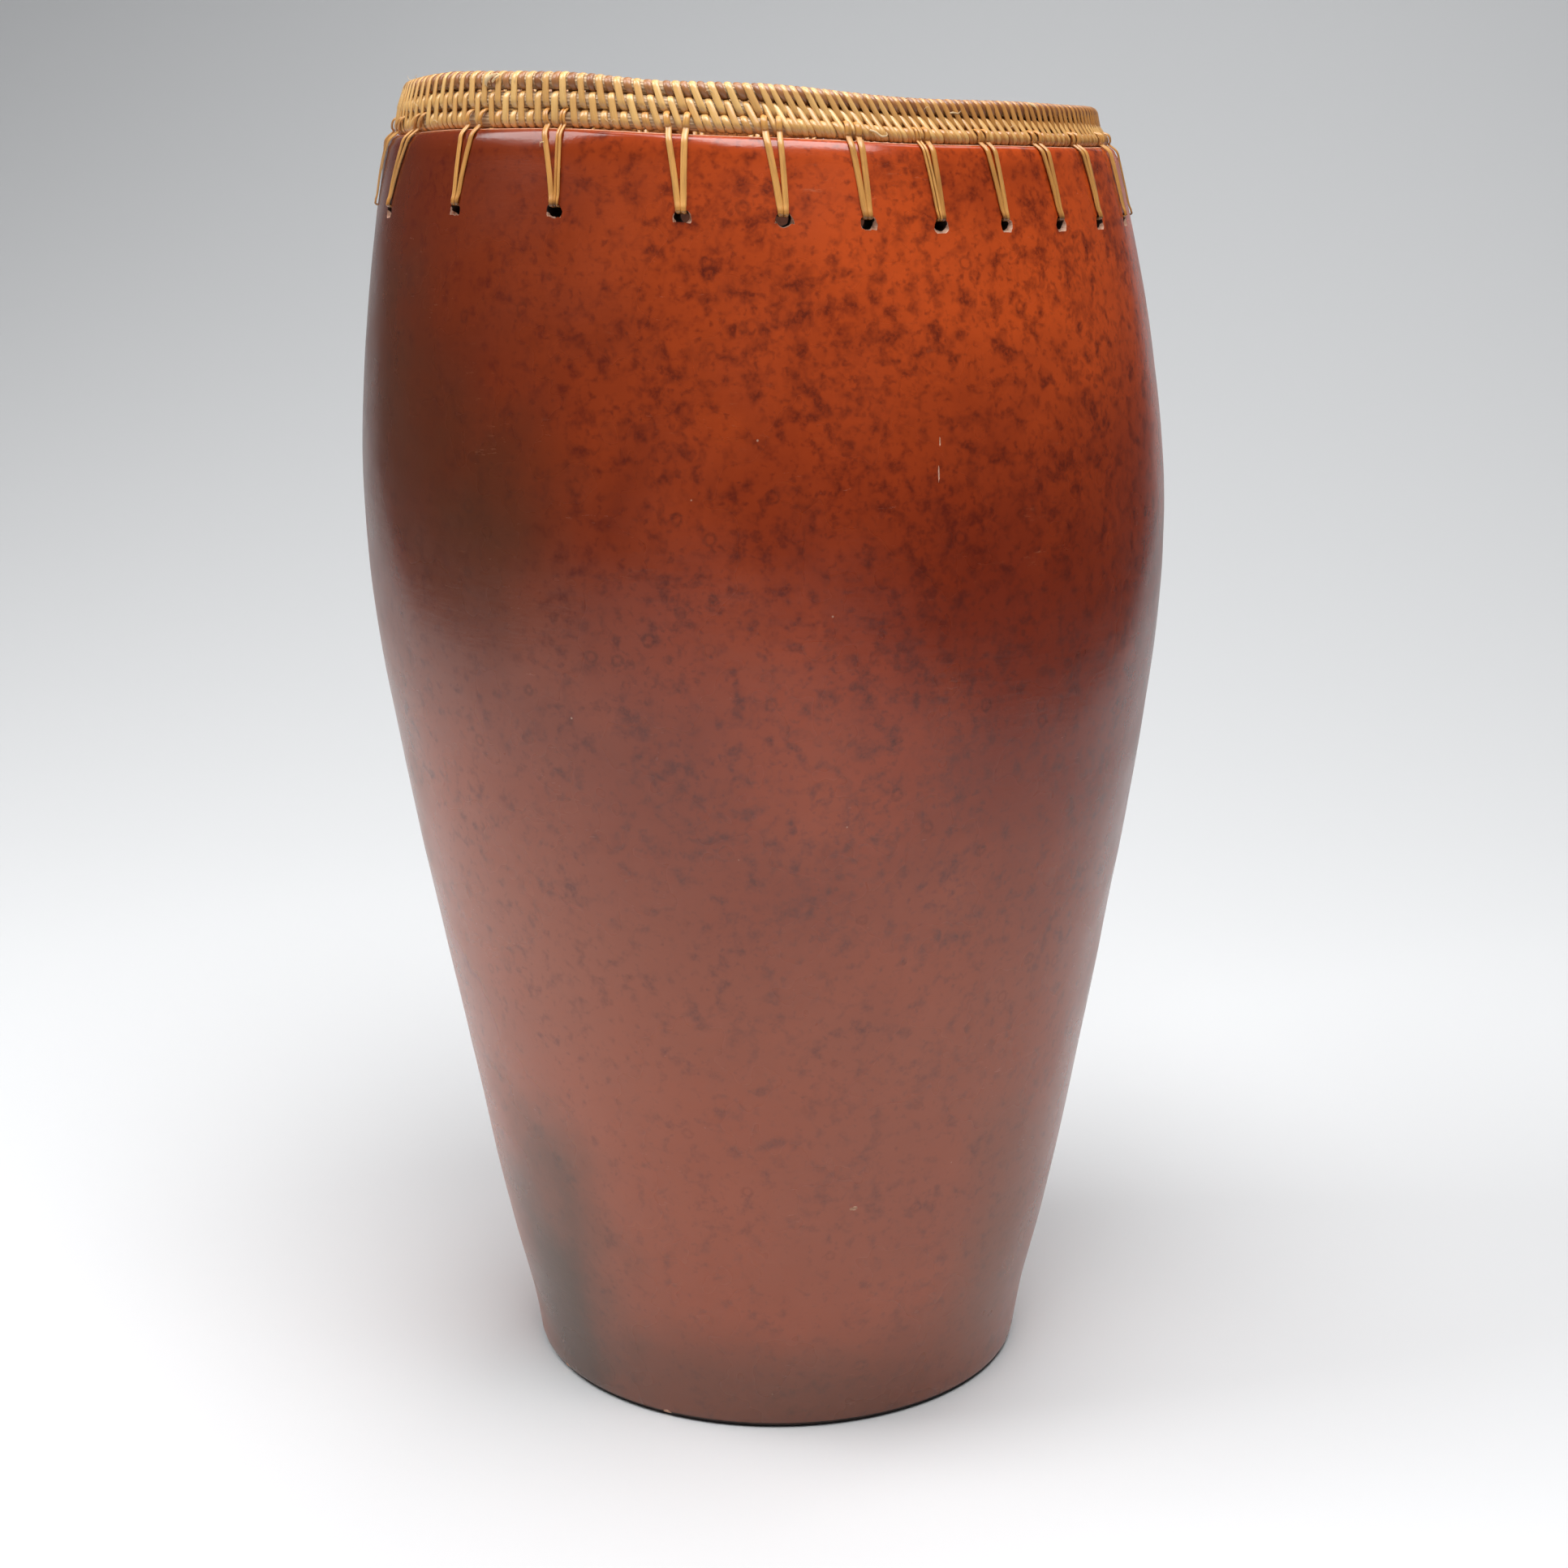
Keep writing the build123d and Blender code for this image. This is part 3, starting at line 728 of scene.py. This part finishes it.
def strips_piece(name, places, rows, material, seed, tone, browner_and_shaded, lift=0.0, swell=0.0):
    """All the strips of one course as one piece of separate closed bands, browner towards the right: partly
    the rattan's own tone, partly painted shade on the courses that catch less of the top light.
    """
    rnd = random.Random(seed)
    strips = Strips()
    mid_row_z = ROW_HEIGHT[1]
    for az, width in places:
        up = lift + rnd.uniform(0, 0.06)
        path = hull_path([tuple(float(v) for v in row_point(row, az)) for row in rows],
                         [float(thick(row, az)) + 0.04 + up for row in rows], 28 if len(rows) > 1 else 22)
        lean = math.tan(math.radians(float(slant_curve(turn(az))))) + rnd.uniform(-0.05, 0.05)
        n = len(path)
        size = width * rnd.uniform(0.90, 1.08) * (1 + 0.05 * np.sin(np.linspace(0, 2 * math.pi, n)
                                                                    + rnd.uniform(0, 6.28)))
        shift = rnd.uniform(-0.18, 0.18) - (path[:, 1] - float(mid_row_z(turn(az)))) * lean
        verts, uv = sweep_section(path[:, 0], path[:, 1], path[:, 2], path[:, 3], az, size / 2, shift,
                                  STRIP_T * rnd.uniform(0.9, 1.1) + swell, lip_point)
        # browner towards the right by a share set for each course: partly the rattan's tone, partly painted
        # shade
        brown = browner_and_shaded * float(smooth(turn(az), 0, 55))
        strips.add(verts, uv, tone[0] - brown + rnd.uniform(-tone[1], tone[1]), rnd)
    return strips.piece(name, material)


def stitch_places():
    """Azimuth and width of the long stitches and of the wraps between them, and each hole's two wraps."""
    stitch, wrap, strands = [], [], []
    az = FIRST_HOLE
    for gap, count in zip(GAPS, STITCHES):
        step = gap / count
        width = min(STRIP_W, 0.62 * math.radians(step) * COLLAR_R)
        start = az + SWING
        for i in range(count):
            stitch.append((start + i * step, width))
            wrap.append((start + (i + 0.5) * step, width))
        az += gap
    for hole in HOLES:
        wanted = hole + float(top_swing(turn(hole)))
        nearest = int(np.argmin([abs(turn(p[0] - wanted)) for p in stitch]))
        strands.append((wrap[nearest - 1], wrap[nearest]))
    return stitch, wrap, strands


# ---------------------------------------------------------------------------------------------------
# Lashings
# ---------------------------------------------------------------------------------------------------

def curve_through(points, steps, closed=True):
    """Smooth curve through points, evenly stepped between each two of them."""
    p = np.array(points, float)
    n = len(p)
    out = []
    for i in range(n if closed else n - 1):
        if closed:
            a, b, c, d = p[i - 1], p[i], p[(i + 1) % n], p[(i + 2) % n]
        else:
            a, b, c, d = p[max(i - 1, 0)], p[i], p[i + 1], p[min(i + 2, n - 1)]
        for k in range(steps):
            t = k / steps
            out.append(0.5 * (2 * b + (c - a) * t + (2 * a - 5 * b + 4 * c - d) * t ** 2
                              + (3 * b - 3 * c + d - a) * t ** 3))
    return np.array(out)


def strand_route(hole_az, top_az, side, slack):
    """One loop: azimuth, distance out and height above the lip, round the lip and the bottom row."""
    hole_z = -HOLE_DROP + 1.0
    core_r, core_z = (float(v) for v in row_point(0, top_az))
    lean = math.tan(math.radians(float(slant_curve(turn(top_az)))))
    top_az += math.degrees((float(ROW_HEIGHT[1](turn(top_az))) - core_z - 1.2) * lean / COLLAR_R)
    ring = float(ROW_HALF[0](turn(top_az))) + 0.14
    clear = 0.40                             # how far a strand stands off the strips it crosses
    lateral = math.degrees(side / STRAND_R)
    top_z = core_z + ring * 0.8

    def out_r(z):
        return float(side_r(HEIGHT + z)) + 0.18 + slack * math.sin(math.pi * (z - hole_z) / (-1.5 - hole_z))

    def in_r(z):
        return float(side_r(HEIGHT + z)) - WALL - 0.35

    def az_at(z):
        up = min(max((z - hole_z) / (top_z - hole_z), 0.0), 1.0)
        return hole_az + lateral + (top_az - hole_az - lateral) * up ** 1.35

    route = [(az_at(hole_z), out_r(hole_z) - 0.7, hole_z + 0.1),
             (az_at(hole_z), out_r(hole_z) + 0.1, hole_z + 0.9)]
    for z in (-16.5, -12.0, -7.5, -4.0):
        route.append((az_at(z), out_r(z), z))
    route.append((az_at(-1.3), LIP_R + 0.25, -1.3))
    for a in (-30, -8, 14, 36, 58, 85, 120, 160, 200):
        q = math.radians(a)
        round_row = ring + clear * float(smooth(a, 75, 30))
        z = core_z + round_row * math.sin(q)
        route.append((az_at(z), core_r + round_row * math.cos(q), z))
    for z in (-3.0, -10.0, -16.0):
        route.append((az_at(z), in_r(z), z))
    route.append((az_at(hole_z), in_r(hole_z) - 0.1, hole_z + 0.7))
    route.append((az_at(hole_z), in_r(hole_z) + 0.6, hole_z))
    return route


def lashing(index, hole_az, tops):
    """Two strands through one hole; here and there a strand has split along its length."""
    rnd = random.Random(500 + index)
    strips = Strips()
    right = float(smooth(turn(hole_az), 5, 45))
    apart = 0.74 - 0.26 * right
    for k, (side, top) in enumerate(zip((-apart, apart), tops)):
        line = curve_through(strand_route(hole_az, top, side, rnd.uniform(0.0, 0.25)), 6)
        d_r, d_z = np.gradient(line[:, 1]), np.gradient(line[:, 2])
        size = np.hypot(d_r, d_z) + 1e-9
        n = len(line)
        depth = smooth(line[:, 2], -HOLE_DROP - 1, -HOLE_DROP + 5)
        wide = (STRAND_W - 0.25 * right) * rnd.uniform(0.90, 1.08) * (0.74 + 0.26 * depth)
        wave = 0.09 * np.sin(np.linspace(0, 9.0, n) + rnd.uniform(0, 6.28)) * depth
        split = (index, k) in ((2, 0), (3, 1), (7, 0), (15, 1))
        parts = ((-0.27, 0.46, 0.0), (0.27, 0.46, 0.10)) if split else ((0.0, 1.0, 0.0),)
        for offset, share, lift in parts:
            verts, uv = sweep_section(line[:, 1] + lift * d_z / size, line[:, 2], d_z / size, -d_r / size,
                                      line[:, 0], wide / 2 * share, wave + offset * wide,
                                      STRAND_T * (1 - 0.2 * split), side_point)
            # strands painted dark where they go into the hole: painted shade
            hole_shade = 1.3 * (1 - smooth(line[:, 2], -HOLE_DROP + 0.6, -HOLE_DROP + 3.4))
            strips.add(verts, uv, 0.5 + rnd.uniform(-0.4, 0.4) - hole_shade, rnd)
    settle(strips.piece("lashing_strands_%02d" % (index + 1), LASHING), "lashing_%02d" % (index + 1))


# ---------------------------------------------------------------------------------------------------
# Loose ends
# ---------------------------------------------------------------------------------------------------

def loose_end(name, places, width, thickness, node):
    """Thin end of strip or fibre that stands free: (azimuth, distance out, height above the lip)."""
    line = curve_through(places, 6, closed=False)
    points = side_point(line[:, 0], line[:, 1], line[:, 2])
    along = np.gradient(points, axis=0)
    along /= np.linalg.norm(along, axis=1)[:, None]
    a = np.radians(line[:, 0])
    out = np.stack([np.sin(a), -np.cos(a), 0 * a], -1)
    side = np.cross(along, out)
    side /= np.linalg.norm(side, axis=1)[:, None] + 1e-9
    up = np.cross(side, along)
    taper = np.clip(np.linspace(1.6, 0.25, len(points)), 0, 1)[:, None]
    around = 8
    grid = [points + taper * (side * (width / 2 * math.cos(t)) + up * (thickness / 2 * math.sin(t)))
            for t in np.arange(around) * 2 * math.pi / around]
    n = len(points)
    verts = np.array(grid).reshape(-1, 3)
    i, j = np.arange(around)[:, None], np.arange(n - 1)[None, :]
    k = (i + 1) % around
    quads = np.stack([i * n + j, i * n + j + 1, k * n + j + 1, k * n + j], -1)
    faces = [tuple(f) for f in quads.reshape(-1, 4)]
    faces.append(tuple(np.arange(around) * n))
    faces.append(tuple(np.arange(around)[::-1] * n + n - 1))
    piece = add_mesh(name, verts, faces, FIBRE)
    length = np.concatenate([[0], np.cumsum(np.linalg.norm(np.diff(points, axis=0), axis=1))])
    uv = np.stack([np.repeat(np.arange(around) * 0.4, n), np.tile(length, around)], -1)
    add_uv(piece.data, uv, np.full(len(verts), 0.6))
    settle(piece, node)


def loose_ends():
    """Tucked tails, curls and whiskers where strips end or have frayed."""
    rnd = random.Random(77)
    count = 0

    def put(places, width, thickness, node="stitches_upper", slot="rattan_strip"):
        nonlocal count
        count += 1
        loose_end("loose_end_%02d" % count, places, width, thickness, node)

    def row_front(row, az, up, out):
        """Place on the front of a row: share of its half height up, and distance off its strips."""
        r, z = (float(v) for v in row_point(row, az))
        half = float(ROW_HALF[row](turn(az)))
        return az, r + half * math.sqrt(max(0.0, 1 - up * up)) + out, z + half * up

    # short flat tails tucked across the top row, one with a folded end
    put([row_front(2, -42.6, -0.6, 0.2), row_front(2, -42.0, 0.0, 0.7), row_front(2, -41.0, 0.5, 0.8),
         row_front(2, -40.2, 0.7, 0.6)], 1.5, 0.5)
    put([row_front(2, -40.8, -0.1, 0.5), row_front(2, -39.9, 0.3, 1.0), row_front(2, -39.6, 0.55, 0.7),
         row_front(2, -40.1, 0.7, 0.8), row_front(2, -40.5, 0.4, 1.1)], 0.8, 0.4)
    put([row_front(2, 31.0, -0.7, 0.3), row_front(2, 31.8, -0.45, 0.9), row_front(2, 32.8, -0.5, 0.8),
         row_front(2, 33.2, -0.2, 1.0)], 0.5, 0.3)
    put([row_front(0, 17.6, 0.4, 0.3), row_front(0, 18.3, 0.2, 1.0), row_front(0, 19.2, -0.3, 1.5),
         row_front(0, 19.9, -0.1, 1.9), row_front(0, 19.8, 0.35, 1.5)], 0.55, 0.3, "stitches_lower")
    put([row_front(2, 48.5, 0.9, 0.1), row_front(2, 49.3, 0.6, 0.6), row_front(2, 49.8, 0.1, 0.7)],
        0.7, 0.3)
    # long whiskers at the left end and small ones along the rows
    put([row_front(2, -70.5, 0.8, 0.1), (-71.5, 102.8, 15.6), (-72.0, 103.2, 16.8)], 0.16, 0.14)
    put([row_front(2, -68.0, 0.9, 0.1), (-67.0, 102.8, 16.0), (-66.5, 102.4, 16.4)], 0.14, 0.12)
    put([row_front(2, -76.0, -0.3, 0.1), (-72.5, 104.5, 11.2), (-70.0, 105.6, 10.2)], 0.2, 0.14)
    for az, row in ((-19.6, 0), (-20.0, 0), (-31.0, 2), (-54.0, 0), (-36.5, 2), (11.0, 1), (-5.0, 2),
                    (27.0, 2), (36.0, 0), (43.0, 1), (56.0, 2), (-62.0, 1), (3.0, 0), (140.0, 1),
                    (-120.0, 2), (100.0, 0)):
        turn_way = rnd.choice((-1, 1))
        reach = rnd.uniform(0.6, 1.5)
        put([row_front(row, az, -0.2, 0.15), row_front(row, az + turn_way * 0.5 * reach, 0.1, 0.5 * reach),
             row_front(row, az + turn_way * 1.0 * reach, rnd.uniform(-0.4, 0.7), 0.9 * reach)], 0.18, 0.14)
    # a curl that has come loose beside a strand, under the lip
    put([(-29.2, LIP_R + 0.9, -3.9), (-29.5, LIP_R + 1.5, -3.5), (-29.9, LIP_R + 1.8, -3.8),
         (-29.95, LIP_R + 1.6, -4.9)], 0.3, 0.2, "lashing_03", "rattan_lashing")


# ---------------------------------------------------------------------------------------------------
# Assembly
# ---------------------------------------------------------------------------------------------------

def settle(piece, node):
    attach(piece, "root")
    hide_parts(node)


jar = jar_shell()
drill_holes(jar)
settle(jar, "clay_body")

for row, level in enumerate(("lower", "middle", "upper")):
    settle(core_ring(row, "core_" + level), "coil_core_" + level)

stitch, wrap, strands = stitch_places()
free_wraps = [p for p in wrap if all(p not in pair for pair in strands)]
# the last number sets how much browner a course turns towards the right: partly the rattan's tone, partly
# painted shade
settle(strips_piece("stitches_low", stitch, (0, 1), STRIP, 1, (0.66, 0.26), 0.15),
       "stitches_lower")
settle(strips_piece("stitches_high", wrap, (1, 2), STRIP, 2, (0.66, 0.26), 0.85, lift=0.03),
       "stitches_upper")
settle(strips_piece("wraps_low", free_wraps, (0,), STRIP, 3, (0.50, 0.26), 0.80, swell=0.1),
       "wraps_lower")
settle(strips_piece("wraps_high", stitch, (2,), RED_STRIP_AND_SHADE, 4, (0.45, 0.3), 0.5),
       "wraps_upper")

for i, az in enumerate(HOLES):
    lashing(i, az, [az + float(turn(p[0] - az)) for p in strands[i]])
loose_ends()


# ---------------------------------------------------------------------------------------------------
# Floor, light and camera
# ---------------------------------------------------------------------------------------------------

def backdrop():
    """Pale sweep: a floor that curves up gently into a wall behind."""
    material, n, shader = new_material("pale sweep")
    shader.inputs["Base Color"].default_value = (0.80, 0.81, 0.82, 1)
    shader.inputs["Roughness"].default_value = 0.7
    shader.inputs["Specular IOR Level"].default_value = 0.2
    bend, start = 2.6, 0.45
    line = [(-1.15, 0.0), (-0.6, 0.0), (0.0, 0.0), (start, 0.0)]
    for a in np.radians(np.linspace(3, 90, 30)):
        line.append((start + bend * math.sin(a), bend - bend * math.cos(a)))
    verts = [(x, y, z) for y, z in line for x in (-0.95 - 0.2 * y, max(0.42, 0.70 + 0.27 * y))]
    faces = [(2 * i, 2 * i + 1, 2 * i + 3, 2 * i + 2) for i in range(len(line) - 1)]
    add_mesh("sweep", np.array(verts) / MM, faces, material)


def soft_box(name, place, aim, size, watts):
    data = bpy.data.lights.new(name, "AREA")
    data.shape = "RECTANGLE"
    data.size, data.size_y = size
    data.energy = watts
    lamp = bpy.data.objects.new(name, data)
    lamp.location = place
    lamp.rotation_euler = (Vector(aim) - Vector(place)).to_track_quat("-Z", "Y").to_euler()
    bpy.context.scene.collection.objects.link(lamp)


backdrop()
soft_box("front_light", (0.16, -0.46, 1.50), (0.0, -0.05, 0.2), (0.9, 0.9), 21)
soft_box("left_light", (-0.95, -0.15, 1.30), (0.0, 0.0, 0.25), (0.8, 0.8), 11.5)
soft_box("top_light", (-0.20, 0.10, 1.35), (0.0, -0.05, 0.38), (0.3, 0.3), 1.0)
soft_box("back_light", (0.55, 1.1, 2.0), (0.45, 0.9, 0.0), (1.4, 1.4), 14)

world = bpy.data.worlds.new("studio")
bpy.context.scene.world = world
world.use_nodes = True
world.node_tree.nodes["Background"].inputs[0].default_value = (0.9, 0.93, 1.0, 1)
world.node_tree.nodes["Background"].inputs[1].default_value = 0.06

camera_data = bpy.data.cameras.new("camera")
camera_data.lens = 58.89
camera_data.sensor_width = 36.0
camera = bpy.data.objects.new("camera", camera_data)
camera.location = (0.00225, -0.790, 0.3872)
camera.rotation_euler = (math.radians(90 - 14.44), 0, 0)
bpy.context.scene.collection.objects.link(camera)
bpy.context.scene.camera = camera
bpy.context.scene.view_settings.view_transform = "Standard"
